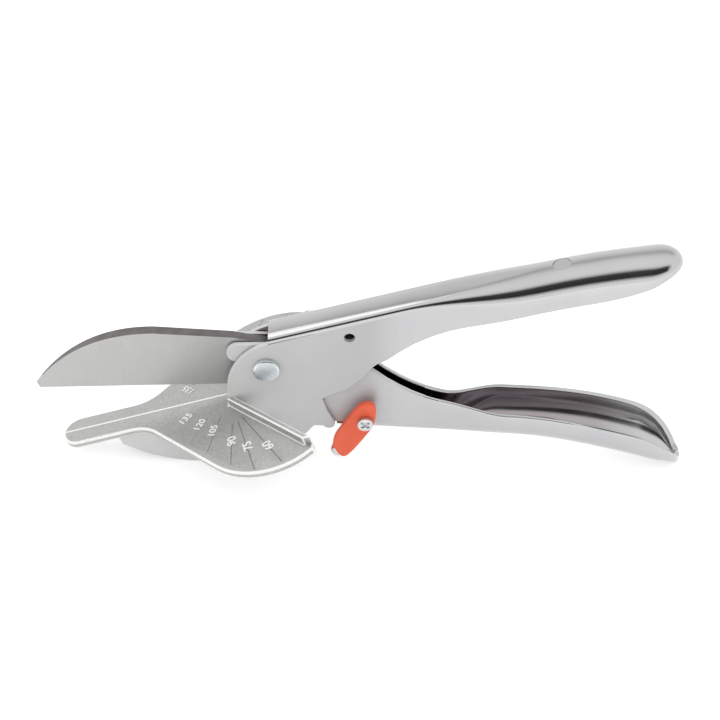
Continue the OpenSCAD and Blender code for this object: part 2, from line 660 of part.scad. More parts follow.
upper_handle();
mitre_table();
table_screws();
table_nuts();
pivot_bolt();
pivot_washer();
pivot_nut();
lower_handle();
pivot_sleeve();
blade();
blade_rivets();
spring_post();
return_spring();
lock_spacer();
lock_screw();
lock_nut();
lock_lever();
lock_washer();
lock_stud();
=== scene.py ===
# Looks of the mitre shears: chrome levers, a cast table, a ground blade and a red lock lever.
# Lengths are millimetres about the pivot, as in the part's source, and become metres in the row frame.
import math

import bmesh
import bpy
from mathutils import Matrix, Vector


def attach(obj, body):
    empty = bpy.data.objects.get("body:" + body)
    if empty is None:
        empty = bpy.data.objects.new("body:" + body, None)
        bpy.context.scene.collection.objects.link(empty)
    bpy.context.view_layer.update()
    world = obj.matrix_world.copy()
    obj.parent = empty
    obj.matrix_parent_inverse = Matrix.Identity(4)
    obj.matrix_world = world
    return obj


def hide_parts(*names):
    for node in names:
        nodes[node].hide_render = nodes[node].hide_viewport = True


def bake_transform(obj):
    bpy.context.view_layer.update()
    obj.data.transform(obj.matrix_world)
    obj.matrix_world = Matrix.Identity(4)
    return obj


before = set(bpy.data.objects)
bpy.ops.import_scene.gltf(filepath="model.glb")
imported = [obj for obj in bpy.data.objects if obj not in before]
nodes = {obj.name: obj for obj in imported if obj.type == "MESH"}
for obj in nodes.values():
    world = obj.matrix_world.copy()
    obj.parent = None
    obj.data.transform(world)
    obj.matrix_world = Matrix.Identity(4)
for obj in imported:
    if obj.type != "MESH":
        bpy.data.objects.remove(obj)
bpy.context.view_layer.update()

# Where the part is set down in the row frame
MM = 0.001
PITCH = math.radians(1.898182)
REST = Vector((-37.570689, 0, 48.435001))
TOOL = Matrix.Scale(MM, 4) @ Matrix.Translation(REST) @ Matrix.Rotation(-PITCH, 4, "Y")

# The near side and the far side
SIDES = (-1, 1)

# Sizes of the source that several pieces share
JAW_ANGLE = math.radians(16)
EDGE_DIP = math.radians(1.2)
TABLE_ANGLE = JAW_ANGLE + EDGE_DIP
RIDGE_OFFSET = 12.7
UPPER_HALF = 6.3
UPPER_T = 2
LOWER_HALF = 4
GRIP_HALF = 9.7
TABLE_T = 3
TABLE_TANG_U = 60
WING_SLOPE = math.radians(3)
SEAT_U = 19.2
SEAT_GAP = 0.2
LOCK_AT = Vector((36.9, -24.2))
LOCK_REACH = 19.1
LOCK_ANGLE = math.radians(32.4)
STUD_ANGLE = math.radians(237.2)
# Ends of the lower side plates' edge that faces the back end of the table's tang
STOP_FROM = (2.9, -9.7)
STOP_TO = (19.6, -28)
TABLE = TOOL @ Matrix.Rotation(-TABLE_ANGLE, 4, "Y") @ Matrix.Translation((0, 0, -RIDGE_OFFSET))


# Curves and points
def mix(a, b, t):
    return a + (b - a) * t


def ease(x, start, end):
    """Smooth step from 0 to 1 between two places."""
    t = min(1, max(0, (x - start) / (end - start)))
    return t * t * (3 - 2 * t)


def round_off(x, end, length):
    """A quarter ellipse: 1 up to a length before the end, then falling to 0."""
    return math.sqrt(max(0, 1 - (max(0, x - end + length) / length) ** 2))


def arc(center, radius, start, end, steps):
    angles = [math.radians(mix(start, end, i / steps)) for i in range(steps + 1)]
    return [(center[0] + radius * math.cos(a), center[1] + radius * math.sin(a)) for a in angles]


def circle(center, radius, count):
    return arc(center, radius, 0, 360 - 360 / count, count - 1)


def cubic(points, t):
    weights = ((1 - t) ** 3, 3 * t * (1 - t) ** 2, 3 * t * t * (1 - t), t ** 3)
    return tuple(sum(w * p[i] for w, p in zip(weights, points)) for i in (0, 1))


def rounded_loop(points, steps=6):
    """A smooth closed loop through points."""
    count = len(points)
    loop = []
    for i in range(count):
        a, b, c, d = (Vector(points[(i + k - 1) % count]) for k in range(4))
        for step in range(steps):
            t = step / steps
            square = (2 * a - 5 * b + 4 * c - d) * t * t
            cube = (3 * b - a - 3 * c + d) * t ** 3
            loop.append(tuple(0.5 * (2 * b + (c - a) * t + square + cube)))
    return loop


def turned(point, angle):
    x, z = point
    return (x * math.cos(angle) - z * math.sin(angle), x * math.sin(angle) + z * math.cos(angle))


def table_point(u, h):
    """A point of the table's middle, from its distance in front and its height above the ridge."""
    return turned((-u, h - RIDGE_OFFSET), TABLE_ANGLE)


def stud_at(angle):
    """Where the lock's stud stands when the lock points at an angle."""
    return LOCK_AT + LOCK_REACH * Vector((math.cos(angle), math.sin(angle)))


# Mesh helpers, and the least angle between two faces whose edge is rounded
BEVEL_FROM = math.radians(40)


def add_to_scene(obj):
    bpy.context.scene.collection.objects.link(obj)


def evaluated_mesh(obj):
    """The mesh of an object with its modifiers applied; the object itself goes away."""
    add_to_scene(obj)
    bpy.context.view_layer.update()
    mesh = bpy.data.meshes.new_from_object(obj.evaluated_get(bpy.context.evaluated_depsgraph_get()))
    bpy.data.objects.remove(obj)
    return mesh


def smooth(mesh, angle):
    """Shades the mesh smooth, apart from edges sharper than an angle in degrees."""
    for face in mesh.polygons:
        face.use_smooth = True
    mesh.set_sharp_from_angle(angle=math.radians(angle))
    return mesh


def flat_piece(outline, thickness, bevel, holes=()):
    """A plate with rounded edges, drawn in its own XY plane and centred on it."""
    curve = bpy.data.curves.new("outline", "CURVE")
    curve.dimensions = "2D"
    curve.fill_mode = "BOTH"
    curve.extrude = thickness / 2 - bevel
    curve.bevel_depth = bevel
    curve.bevel_resolution = 2
    curve.offset = -bevel
    for loop in [outline, *holes]:
        spline = curve.splines.new("POLY")
        spline.points.add(len(loop) - 1)
        spline.use_cyclic_u = True
        for point, (x, y) in zip(spline.points, loop):
            point.co = (x, y, 0, 1)
    return evaluated_mesh(bpy.data.objects.new("plate", curve))


def side_plate(outline, y0, y1, bevel, holes=()):
    """A plate in the side view, between two distances across; its inner face has material index 1."""
    mesh = flat_piece(outline, y1 - y0, bevel, holes)
    across = Matrix.Translation((0, (y0 + y1) / 2, 0)) @ Matrix.Rotation(math.pi / 2, 4, "X")
    mesh.transform(TOOL @ across)
    for face in mesh.polygons:
        face.material_index = int(face.normal.y * (y0 + y1) < 0)
    return mesh


def mesh_from(vertices, faces, join=0):
    """A mesh with its faces turned outward; vertices nearer than the join distance become one."""
    mesh = bpy.data.meshes.new("skin")
    mesh.from_pydata(vertices, [], faces)
    bm = bmesh.new()
    bm.from_mesh(mesh)
    if join:
        bmesh.ops.remove_doubles(bm, verts=bm.verts, dist=join * MM)
    bmesh.ops.recalc_face_normals(bm, faces=bm.faces)
    if bm.calc_volume(signed=True) < 0:
        bmesh.ops.reverse_faces(bm, faces=bm.faces)
    bm.to_mesh(mesh)
    bm.free()
    return mesh


def prism_faces(count):
    """Two ends and the walls between two loops of vertices, one after the other."""
    faces = [tuple(range(count)), tuple(range(count, 2 * count))]
    return faces + [(i, (i + 1) % count, count + (i + 1) % count, count + i) for i in range(count)]


def bevelled(mesh, width, segments=3):
    """The mesh with rounded edges, whose faces have material index 1."""
    while len(mesh.materials) < 2:
        mesh.materials.append(None)
    obj = bpy.data.objects.new("sharp", mesh)
    modifier = obj.modifiers.new("edges", "BEVEL")
    modifier.width = width * MM
    modifier.segments = segments
    modifier.limit_method = "ANGLE"
    modifier.angle_limit = BEVEL_FROM
    modifier.material = 1
    return evaluated_mesh(obj)


def cut(mesh, cutter):
    obj = bpy.data.objects.new("whole", mesh)
    tool = bpy.data.objects.new("cutter", cutter)
    add_to_scene(tool)
    modifier = obj.modifiers.new("grooves", "BOOLEAN")
    modifier.operation = "DIFFERENCE"
    modifier.use_self = True
    modifier.object = tool
    result = evaluated_mesh(obj)
    bpy.data.objects.remove(tool)
    return result


def piece(name, body, shells, replaced, sharp_angle=32):
    """One object riding on a body, from shells: each a mesh and the materials of its indices."""
    joined = bmesh.new()
    mesh = bpy.data.meshes.new(name)
    for shell, *materials in shells:
        first = len(mesh.materials)
        for face in shell.polygons:
            face.material_index = first + min(face.material_index, len(materials) - 1)
        joined.from_mesh(shell)
        for material in materials:
            mesh.materials.append(material)
    joined.to_mesh(mesh)
    joined.free()
    obj = bpy.data.objects.new(name, smooth(mesh, sharp_angle))
    add_to_scene(obj)
    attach(obj, body)
    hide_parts(replaced)


# Node helpers
def fill_ramp(node, stops):
    """Sets a colour ramp from places and colours, in rising order."""
    elements = node.color_ramp.elements
    for element, (position, color) in zip(elements, (stops[0], stops[-1])):
        element.position = position
        element.color = (*color, 1)
    for position, color in stops[1:-1]:
        elements.new(position).color = (*color, 1)


def calc(tree, operation, *values):
    """The output of a math node; each value is a number or another node's output."""
    node = tree.nodes.new("ShaderNodeMath")
    node.operation = operation
    for socket, value in zip(node.inputs, values):
        if isinstance(value, bpy.types.NodeSocket):
            tree.links.new(value, socket)
        else:
            socket.default_value = value
    return node.outputs[0]


def mixed(tree, factor, first, second):
    """A colour that runs from another node's output to a fixed colour."""
    node = tree.nodes.new("ShaderNodeMix")
    node.data_type = "RGBA"
    start, end = (socket for socket in node.inputs if socket.type == "RGBA")
    tree.links.new(factor, node.inputs["Factor"])
    tree.links.new(first, start)
    end.default_value = (*second, 1)
    return next(socket for socket in node.outputs if socket.type == "RGBA")


def grey(level):
    return (level, level, level)


# Nearly all values of a noise lie between these
NOISE_ENDS = (0.3, 0.7)


class Surface:
    """A material with a Principled shader, built up from noise, ramps and a bump; noise is per metre."""

    def __init__(self, name, metallic=0, roughness=0.5):
        self.material = bpy.data.materials.new(name)
        self.material.use_nodes = True
        self.tree = self.material.node_tree
        self.shader = self.tree.nodes["Principled BSDF"]
        self.shader.inputs["Metallic"].default_value = metallic
        self.shader.inputs["Roughness"].default_value = roughness
        self.place = self.tree.nodes.new("ShaderNodeTexCoord").outputs["Object"]

    def link(self, output, target):
        self.tree.links.new(output, target)

    def noise(self, scale, detail=4, stretch=(1, 1, 1)):
        mapping = self.tree.nodes.new("ShaderNodeMapping")
        mapping.inputs["Scale"].default_value = stretch
        texture = self.tree.nodes.new("ShaderNodeTexNoise")
        texture.inputs["Scale"].default_value = scale
        texture.inputs["Detail"].default_value = detail
        self.link(self.place, mapping.inputs["Vector"])
        self.link(mapping.outputs["Vector"], texture.inputs["Vector"])
        return texture.outputs["Fac"]

    def along(self, start, end):
        """A factor that rises from 0 to 1 between two places along the shears, from the pivot."""
        axes = self.tree.nodes.new("ShaderNodeSeparateXYZ")
        span = self.tree.nodes.new("ShaderNodeMapRange")
        span.interpolation_type = "SMOOTHSTEP"
        span.inputs["From Min"].default_value = (start + REST.x) * MM
        span.inputs["From Max"].default_value = (end + REST.x) * MM
        self.link(self.place, axes.inputs[0])
        self.link(axes.outputs["X"], span.inputs["Value"])
        return span.outputs["Result"]

    def ramp(self, factor, stops):
        ramp = self.tree.nodes.new("ShaderNodeValToRGB")
        fill_ramp(ramp, stops)
        self.link(factor, ramp.inputs["Fac"])
        return ramp.outputs["Color"]

    def tones(self, noise, dark, pale):
        """A colour that runs between two tones with a noise."""
        return self.ramp(noise, list(zip(NOISE_ENDS, (dark, pale))))

    def color(self, output):
        self.link(output, self.shader.inputs["Base Color"])

    def vary(self, target, factor, low, high, ends=NOISE_ENDS):
        """Lets a shader value run from low to high as the factor runs between its ends."""
        span = self.tree.nodes.new("ShaderNodeMapRange")
        span.inputs["From Min"].default_value = ends[0]
        span.inputs["From Max"].default_value = ends[1]
        span.inputs["To Min"].default_value = low
        span.inputs["To Max"].default_value = high
        self.link(factor, span.inputs["Value"])
        self.link(span.outputs["Result"], self.shader.inputs[target])

    def bump(self, factor, strength, depth=0.2):
        bump = self.tree.nodes.new("ShaderNodeBump")
        bump.inputs["Strength"].default_value = strength
        bump.inputs["Distance"].default_value = depth * MM
        self.link(factor, bump.inputs["Height"])
        self.link(bump.outputs["Normal"], self.shader.inputs["Normal"])


# Materials
def polished_chrome():
    surface = Surface("polished_chrome", 1)
    cloud = surface.noise(60)
    surface.color(surface.tones(cloud, (0.48, 0.48, 0.49), (0.51, 0.51, 0.51)))
    surface.vary("Roughness", cloud, 0.08, 0.14)
    surface.bump(surface.noise(900, 2), 0.03)
    return surface.material


def satin_chrome():
    """Pale and matt around the pivot, and polished where the side plates end in the grips; the paler colour
    towards the front is partly painted light against the shade of the table and fences.
    """
    surface = Surface("satin_chrome")
    cloud = surface.tones(surface.noise(90), (0.61, 0.61, 0.61), (0.65, 0.65, 0.645))
    # Painted light: the base colour pales towards the front, over more than the matt part, to lift the shade
    # that the table and fences cast on the plates.
    surface.color(mixed(surface.tree, surface.along(-22, 50), cloud, (0.49, 0.49, 0.5)))
    polish = surface.along(34, 54)
    surface.vary("Roughness", polish, 0.55, 0.12, (0, 1))
    surface.vary("Metallic", polish, 0.25, 1, (0, 1))
    surface.bump(surface.noise(2500, 3), 0.06)
    return surface.material


# The inside of the channels and of the side plates: its dark colour is painted shade of the hollows, paling
# towards the grips' ends; the slightly rougher finish is real.
def dull_inside():
    surface = Surface("dull_inside", 1)
    stops = [(0, (0.33, 0.3, 0.315)), (0.6, (0.36, 0.34, 0.35)), (1, (0.5, 0.5, 0.5))]
    surface.color(surface.ramp(surface.along(95, 155), stops))
    surface.vary("Roughness", surface.noise(120), 0.12, 0.2)
    surface.bump(surface.noise(900, 2), 0.03)
    return surface.material


def cast_zinc():
    surface = Surface("cast_zinc", 0.7)
    grain = surface.noise(1100, 6)
    surface.color(surface.tones(grain, (0.39, 0.39, 0.38), (0.5, 0.5, 0.485)))
    surface.vary("Roughness", surface.noise(120), 0.4, 0.54)
    surface.bump(grain, 0.2)
    return surface.material


# A pale zinc that paints highlights on the table's and fences' rounded edges, along the ridge and at the
# fences' feet; it is also the real colour of the raised numbers.
def bare_zinc():
    surface = Surface("bare_zinc", 0.1)
    grain = surface.noise(900)
    surface.color(surface.tones(grain, (0.84, 0.84, 0.82), (0.92, 0.92, 0.9)))
    surface.vary("Roughness", grain, 0.26, 0.4)
    surface.bump(grain, 0.08)
    return surface.material


def ground_steel():
    surface = Surface("ground_steel", 0.6)
    strokes = surface.noise(900, 3, stretch=(2, 1, 0.3))
    surface.color(surface.tones(strokes, (0.47, 0.47, 0.465), (0.5, 0.5, 0.495)))
    surface.vary("Roughness", surface.noise(80), 0.42, 0.5)
    surface.bump(strokes, 0.02)
    return surface.material


def dark_scale():
    surface = Surface("dark_scale", 0.7)
    patches = surface.noise(200)
    surface.color(surface.tones(patches, (0.13, 0.12, 0.118), (0.2, 0.188, 0.185)))
    surface.vary("Roughness", patches, 0.4, 0.55)
    surface.bump(surface.noise(1800), 0.1)
    return surface.material


def blued_zinc():
    surface = Surface("blued_zinc", 0.9)
    cloud = surface.noise(400)
    surface.color(surface.tones(cloud, (0.55, 0.6, 0.625), (0.62, 0.665, 0.685)))
    surface.vary("Roughness", cloud, 0.36, 0.46)
    surface.bump(surface.noise(2000), 0.04, depth=0.1)
    return surface.material


def bright_zinc():
    surface = Surface("bright_zinc", 1)
    cloud = surface.noise(400)
    surface.color(surface.tones(cloud, (0.55, 0.56, 0.58), (0.68, 0.68, 0.68)))
    surface.vary("Roughness", cloud, 0.2, 0.34)
    surface.bump(surface.noise(2000), 0.1)
    return surface.material


def spring_wire():
    surface = Surface("spring_wire", 1, 0.35)
    cloud = surface.noise(900)
    surface.color(surface.tones(cloud, (0.36, 0.35, 0.34), (0.52, 0.51, 0.5)))
    surface.bump(cloud, 0.1, depth=0.1)
    return surface.material


def red_enamel():
    surface = Surface("red_enamel")
    cloud = surface.noise(150)
    surface.color(surface.tones(cloud, (0.8, 0.105, 0.042), (0.87, 0.14, 0.062)))
    surface.vary("Roughness", cloud, 0.34, 0.46)
    surface.bump(surface.noise(1200), 0.06)
    return surface.material


CHROME = polished_chrome()
SATIN = satin_chrome()
INSIDE = dull_inside()
CAST = cast_zinc()
BARE_AND_HIGHLIGHT = bare_zinc()
STEEL = ground_steel()
SCALE = dark_scale()
BLUED = blued_zinc()
ZINC = bright_zinc()
WIRE = spring_wire()
RED = red_enamel()

# Bent sheet: the source's U sections with finer steps, rounded edges and a slight crown
SECTION_STEPS = 16
RIM = 0.45
RIM_POINTS = 2
# Largest share of the sheet's thickness in one rounded edge, and the height in which a tuck fades above it
RIM_SHARE = 0.4
TUCK_H = 1
# Height of a flat web's crown, and the share of it that stands above the flat
CROWN = 1.5
CROWN_LIFT = 0.75
# Least flat of a web beside a bend, and the largest share of a wall that a bend takes
LEAST_FLAT = 0.2
BEND_SHARE = 0.85
# Least half width of a section's inside, and its least height and bend
LEAST_INNER_HALF = 0.5
LEAST_INNER = 0.6


def half_section(w, low, high, r, lip, tuck):
    """The left half of a U, from its edge up to the middle; lip rounds the edge, tuck draws it in."""
    ry = min(r, w - LEAST_FLAT)
    rz = min(r, BEND_SHARE * (high - low))
    rim_top = low + abs(lip)
    round_edge = [(lip, 0), (0.3 * lip, 0.3 * abs(lip)), (0, abs(lip))]
    points = [(tuck - w + dy, low + dz) for dy, dz in round_edge]
    points.append((-w, min(rim_top + TUCK_H, mix(rim_top, high - rz, 0.5))))
    for i in range(SECTION_STEPS + 1):
        a = math.pi / 2 * i / SECTION_STEPS
        points.append((ry - w - ry * math.cos(a), high - rz + rz * math.sin(a)))
    points.append((mix(ry - w, 0, 0.5), high))
    crown = CROWN * (1 - ry / w)
    return [(y, z + crown * (CROWN_LIFT - (y / w) ** 2)) if z > rim_top else (y, z) for y, z in points]


def whole_section(half):
    return half + [(-y, z) for y, z in reversed(half)]


def channel_ring(x, inner_x, w, low, high, r, t, tuck):
    """One ring of a channel's skin: an outer U and an inner one."""
    inner_w = max(w - t, LEAST_INNER_HALF)
    inner_high = max(high - t, low + LEAST_INNER)
    lip = min(RIM, RIM_SHARE * (w - inner_w))
    outer = whole_section(half_section(w, low, high, r, lip, tuck))
    inner = whole_section(half_section(inner_w, low, inner_high, max(r - t, LEAST_INNER), -lip, 0))
    return [(x, y, z) for y, z in outer] + [(inner_x, y, z) for y, z in reversed(inner)]


def channel_mesh(rings):
    """The skin of a channel; the faces of its inside have material index 1."""
    size = len(rings[0])
    last = len(rings) - 1
    faces = []
    for i in range(last):
        for j in range(size):
            k = (j + 1) % size
            faces.append((i * size + j, i * size + k, (i + 1) * size + k, (i + 1) * size + j))
    for j in range(size // 2 - 1):
        for start in (0, last * size):
            faces.append((start + j, start + size - 1 - j, start + size - 2 - j, start + j + 1))
    mesh = mesh_from([TOOL @ Vector(p) for ring in rings for p in ring], faces)
    for i in range(last * size):
        mesh.polygons[i].material_index = int(size // 2 + RIM_POINTS <= i % size < size - 1 - RIM_POINTS)
    return mesh


def stations(start, close, end, steps, close_steps):
    """Places along a lever: even up to where it closes, then denser towards its end."""
    even = [mix(start, close, i / steps) for i in range(steps)]
    quarter = [math.sin(math.pi / 2 * i / close_steps) for i in range(close_steps + 1)]
    return even + [mix(close, end, share) for share in quarter]


# Sizes of the source that both levers share
BEND_R = 1.5
BEND_COVER = 2.4
EASE_FROM = 95
DEEP_FROM = 75
FULL_DEPTH = (46, 56)
LEAST_DEPTH = 1.5
LEAST_HALF = 1
PLATE_END = 60
PLATE_STEP = 5
PLATE_LAP = 0.4
EDGE_INSET = 0.1
# The side plates stand this little proud, and the sheet's edges are drawn in where they cover it
PLATE_PROUD = 0.02
EDGE_TUCK = 0.25
TUCK_END = (48, 56)


def edge_tuck(x):
    return EDGE_TUCK * (1 - ease(x, *TUCK_END))


def both_plates(outline, half, thickness, bevel, holes=()):
    """The two side plates of a lever, as shells."""
    shells = []
    for side in SIDES:
        ends = sorted((side * (half + PLATE_PROUD), side * (half - thickness)))
        shells.append((side_plate(outline, *ends, bevel, holes), SATIN, INSIDE))
    return shells


# Upper lever
UPPER_REACH = 151.5
WEB_FRONT = 0.9
WEB_Z = 13.4
TOP_SLOPE = 0.287
TOP_EASE = 0.00187
END_DROP = 6
END_DROP_LEN = 8.5
UPPER_DEPTH = 14
UPPER_DEEPEN = 0.0098
UPPER_FLARE = (50, 95)
UPPER_BEND = (50, 105)
UPPER_CLOSE_LEN = 13.5
UPPER_RUNOUT_LEN = 33.5
FRONT_C = (7.9, -10.2)
FRONT_R = 23.1
FRONT_ARC = (109, 188)
BELLY_C = (-25, 12.6)
BELLY_R = 60.2
BELLY_ARC = (238, 310.7)
BELLY_LEAD = 6
CATCH_R = 2.4
CATCH_IN = 1.4
CATCH_ARC = (-100, 90)
CATCH_LEAD = Vector((-5.6, -1))
# Back edge of the side plates, from the catch up to the grip
PLATE_BACK = [
    (22.3, -21.2), (20.6, -15.4), (24, -13.4), (30.4, -10.8),
    (36.1, -5), (39.4, -0.2), (41.6, 1.8),
]
HANG_HOLE_AT = (31.1, 14.5)
HANG_HOLE_R = 2
COIN_X = 108
COIN_R = 3.4
COIN_DEPTH = 0.6
COIN_CUTTER_H = 5
UPPER_ROUNDING = 0.35


def top_z(x):
    end_drop = END_DROP * (1 - round_off(x, UPPER_REACH, END_DROP_LEN))
    return WEB_Z + TOP_SLOPE * x - TOP_EASE * max(0, x - EASE_FROM) ** 2 - end_drop


def shoulder(x):
    return mix(BEND_R, GRIP_HALF, ease(x, *UPPER_BEND))


def upper_edge(x):
    return UPPER_DEPTH + UPPER_DEEPEN * max(0, DEEP_FROM - x) ** 2


def upper_ring(x):
    depth = mix(shoulder(x) + BEND_COVER, upper_edge(x), ease(x, *FULL_DEPTH))
    low = top_z(x) - max(LEAST_DEPTH, depth * round_off(x, UPPER_REACH, UPPER_RUNOUT_LEN))
    wide = mix(UPPER_HALF, GRIP_HALF, ease(x, *UPPER_FLARE))
    w = max(LEAST_HALF, wide * round_off(x, UPPER_REACH, UPPER_CLOSE_LEN))
    inner_x = WEB_FRONT + (x - WEB_FRONT) * (1 - UPPER_T / (UPPER_REACH - WEB_FRONT))
    return channel_ring(x, inner_x, w, low, top_z(x), shoulder(x), UPPER_T, edge_tuck(x))


def upper_plate_outline():
    catch = Vector(turned(stud_at(STUD_ANGLE - LOCK_ANGLE), JAW_ANGLE / 2))
    catch *= 1 - CATCH_IN / catch.length
    facing = math.degrees(math.atan2(catch.y, catch.x))
    seat_low = -TABLE_T - UPPER_HALF * math.tan(WING_SLOPE) - SEAT_GAP
    seat = [(SEAT_U - SEAT_GAP, 0), (SEAT_U - SEAT_GAP, seat_low), (TABLE_TANG_U + BELLY_LEAD, seat_low)]
    top_places = range(PLATE_END, PLATE_STEP, -PLATE_STEP)
    outline = [(x, top_z(x) - shoulder(x) - PLATE_LAP) for x in top_places]
    outline += [(WEB_FRONT + PLATE_LAP, top_z(WEB_FRONT) - BEND_R - PLATE_LAP)]
    outline += arc(FRONT_C, FRONT_R, *FRONT_ARC, 40)
    outline += [table_point(u, h) for u, h in seat]
    outline += arc(BELLY_C, BELLY_R, *BELLY_ARC, 60)
    outline += [tuple(catch + CATCH_LEAD)]
    outline += arc(catch, CATCH_R, *(facing + a for a in CATCH_ARC), 20)
    outline += PLATE_BACK
    edge_places = range(PLATE_END - 3 * PLATE_STEP, PLATE_END + 1, PLATE_STEP)
    outline += [(x, top_z(x) - upper_edge(x) + EDGE_INSET) for x in edge_places]
    return outline


def coin_cutter():
    """A cylinder that leaves a small flat on top of the grip."""
    bm = bmesh.new()
    bmesh.ops.create_cone(bm, cap_ends=True, segments=48, radius1=COIN_R, radius2=COIN_R, depth=COIN_CUTTER_H)
    mesh = bpy.data.meshes.new("coin")
    bm.to_mesh(mesh)
    bm.free()
    lean = Matrix.Rotation(-math.atan((top_z(COIN_X + 1) - top_z(COIN_X - 1)) / 2), 4, "Y")
    floor = Matrix.Translation((COIN_X, 0, top_z(COIN_X) - COIN_DEPTH))
    mesh.transform(TOOL @ floor @ lean @ Matrix.Translation((0, 0, COIN_CUTTER_H / 2)))
    return mesh


def upper_lever():
    places = stations(WEB_FRONT, UPPER_REACH - UPPER_CLOSE_LEN, UPPER_REACH, 110, 26)
    sheet = channel_mesh([upper_ring(x) for x in places])
    hole = circle(HANG_HOLE_AT, HANG_HOLE_R, 24)
    shells = [(cut(sheet, coin_cutter()), CHROME, INSIDE)]
    shells += both_plates(upper_plate_outline(), UPPER_HALF, UPPER_T, UPPER_ROUNDING, [hole])
    piece("upper_lever", "upper", shells, "upper_handle", sharp_angle=14)


# Lower lever
LOWER_REACH = 161
LOWER_WEB_FRONT = 26
LOWER_T = 1.8
LOWER_Z = -29.09
LOWER_SLOPE = -0.075
LOWER_BEND = 0.0029
LOWER_DEPTH = 13.8
LOWER_DEEPEN = 0.0122
CLAW_DEPTH = 4.5
LOWER_FLARE = (67, 91)
LOWER_WIDEN = (91, 135)
CLAW_WIDEN = 1.6
LOWER_CLOSE_LEN = 14
LOWER_RUNOUT_LEN = 20
LOWER_ROUNDING = 0.3
# Nose of the side plates, and their edges next to it
NOSE_C = (-10.6, 5.4)
NOSE_R = 4.3
NOSE_ARC = (90, 250)
NOSE_FOOT = [(-8, -1), (-4.5, -9.7)]
NOSE_BACK = 5.5


def base_z(x):
    return LOWER_Z + LOWER_SLOPE * x - LOWER_BEND * max(0, x - EASE_FROM) ** 2


def lower_edge(x):
    return LOWER_DEPTH + LOWER_DEEPEN * max(0, DEEP_FROM - x) ** 2


def lower_ring(x):
    """A ring of the lower sheet, which is drawn upside down and then turned over."""
    flare = ease(x, *LOWER_FLARE)
    depth = mix(BEND_R + BEND_COVER, lower_edge(x), ease(x, *FULL_DEPTH))
    edge = base_z(x) + max(CLAW_DEPTH, depth * round_off(x, LOWER_REACH, LOWER_RUNOUT_LEN))
    wide = mix(LOWER_HALF, GRIP_HALF, flare) + CLAW_WIDEN * ease(x, *LOWER_WIDEN)
    w = max(LEAST_HALF, wide * round_off(x, LOWER_REACH, LOWER_CLOSE_LEN))
    inner_x = LOWER_WEB_FRONT + (x - LOWER_WEB_FRONT) * (1 - LOWER_T / (LOWER_REACH - LOWER_WEB_FRONT))
    bend = mix(BEND_R, GRIP_HALF, flare)
    ring = channel_ring(x, inner_x, w, -edge, -base_z(x), bend, LOWER_T, edge_tuck(x))
    return [(px, -py, -pz) for px, py, pz in ring]


def lower_plate_outline():
    web_places = (LOWER_WEB_FRONT + 1, PLATE_END)
    edge_places = range(PLATE_END, PLATE_END - 4 * PLATE_STEP - 1, -PLATE_STEP)
    outline = arc(NOSE_C, NOSE_R, *NOSE_ARC, 24) + NOSE_FOOT + [STOP_FROM, STOP_TO]
    outline += [(x, base_z(x) + BEND_R + PLATE_LAP) for x in web_places]
    outline += [(x, base_z(x) + lower_edge(x) - EDGE_INSET) for x in edge_places]
    return outline + [(NOSE_BACK, NOSE_C[1] + NOSE_R)]


def lower_lever():
    places = stations(LOWER_WEB_FRONT, LOWER_REACH - LOWER_CLOSE_LEN, LOWER_REACH, 100, 28)
    shells = [(channel_mesh([lower_ring(x) for x in places]), CHROME, INSIDE)]
    shells += both_plates(lower_plate_outline(), LOWER_HALF, LOWER_T, LOWER_ROUNDING)
    piece("lower_lever", "lower", shells, "lower_handle")


# Mitre table, with distances in front of the pivot's foot (u) and across (v)
TABLE_REACH = 88.3
TABLE_HEEL = 2
TABLE_TANG_H = 19.5
TONGUE_HALF = 7.3
TIP_FLAT = 0.5
FLANK_R = 14
WING_R = 28.4
WING_U = 3.9
WING_V = 16.9
SEAT_V = UPPER_HALF + SEAT_GAP
# On a fence's 45 degree faces the sum of both distances is constant
FENCE_SUM = 25.9
FENCE_H = 3.9
FENCE_T = 2.2
FENCE_END = 36.8
FENCE_BACK = FENCE_SUM - FENCE_T * math.sqrt(2)
# Distance along the tang between its back end and the lower side plates
STOP_GAP = 0.4
TABLE_ROUNDING = 0.8
FENCE_ROUNDING = 0.5
TABLE_TANG_ROUNDING = 0.3
# Vertices of the two halves this near to each other become one along the ridge
JOIN = 0.01
# Engraved line of one angle: start in front and across, and length
ANGLE_LINES = {
    60: (13.9, 14.7, 32),
    75: (15.6, 16.6, 27.5),
    90: (17.9, 17, 21),
    105: (23, 12, 17),
    120: (28, 10.5, 13),
    135: (34.5, 10.5, 6),
}
# Section of an engraved line: across it and above the wing
GROOVE = ((-0.3, 0.1), (0.3, 0.1), (0, -0.3))
# Place of the middle of one angle's number
NUMBER_PLACES = {
    60: (3.4, 32.5),
    75: (11.4, 30.5),
    90: (17.8, 26),
    105: (25.6, 18.3),
    120: (31.1, 13.5),
    135: (37.1, 8.4),
}
NUMBER_SIZE = 4.8
LONG_NUMBER_SIZE = 4
NUMBER_BOLD = 0.06
NUMBER_HALF_H = 0.1
NUMBER_LIFT = 0.05
# Painted highlight lines: depth in the table, and the height and edges of those on the ridge and at a fence's
# foot
MARK_SINK = 0.2
RIDGE_MARK_H = 0.05
RIDGE_MARK_U = (20, TABLE_REACH - 0.8)
RIDGE_MARK_V = 0.35
FOOT_MARK_H = 0.08
FOOT_MARK_SUMS = (FENCE_SUM + 0.7, FENCE_SUM - 0.1)


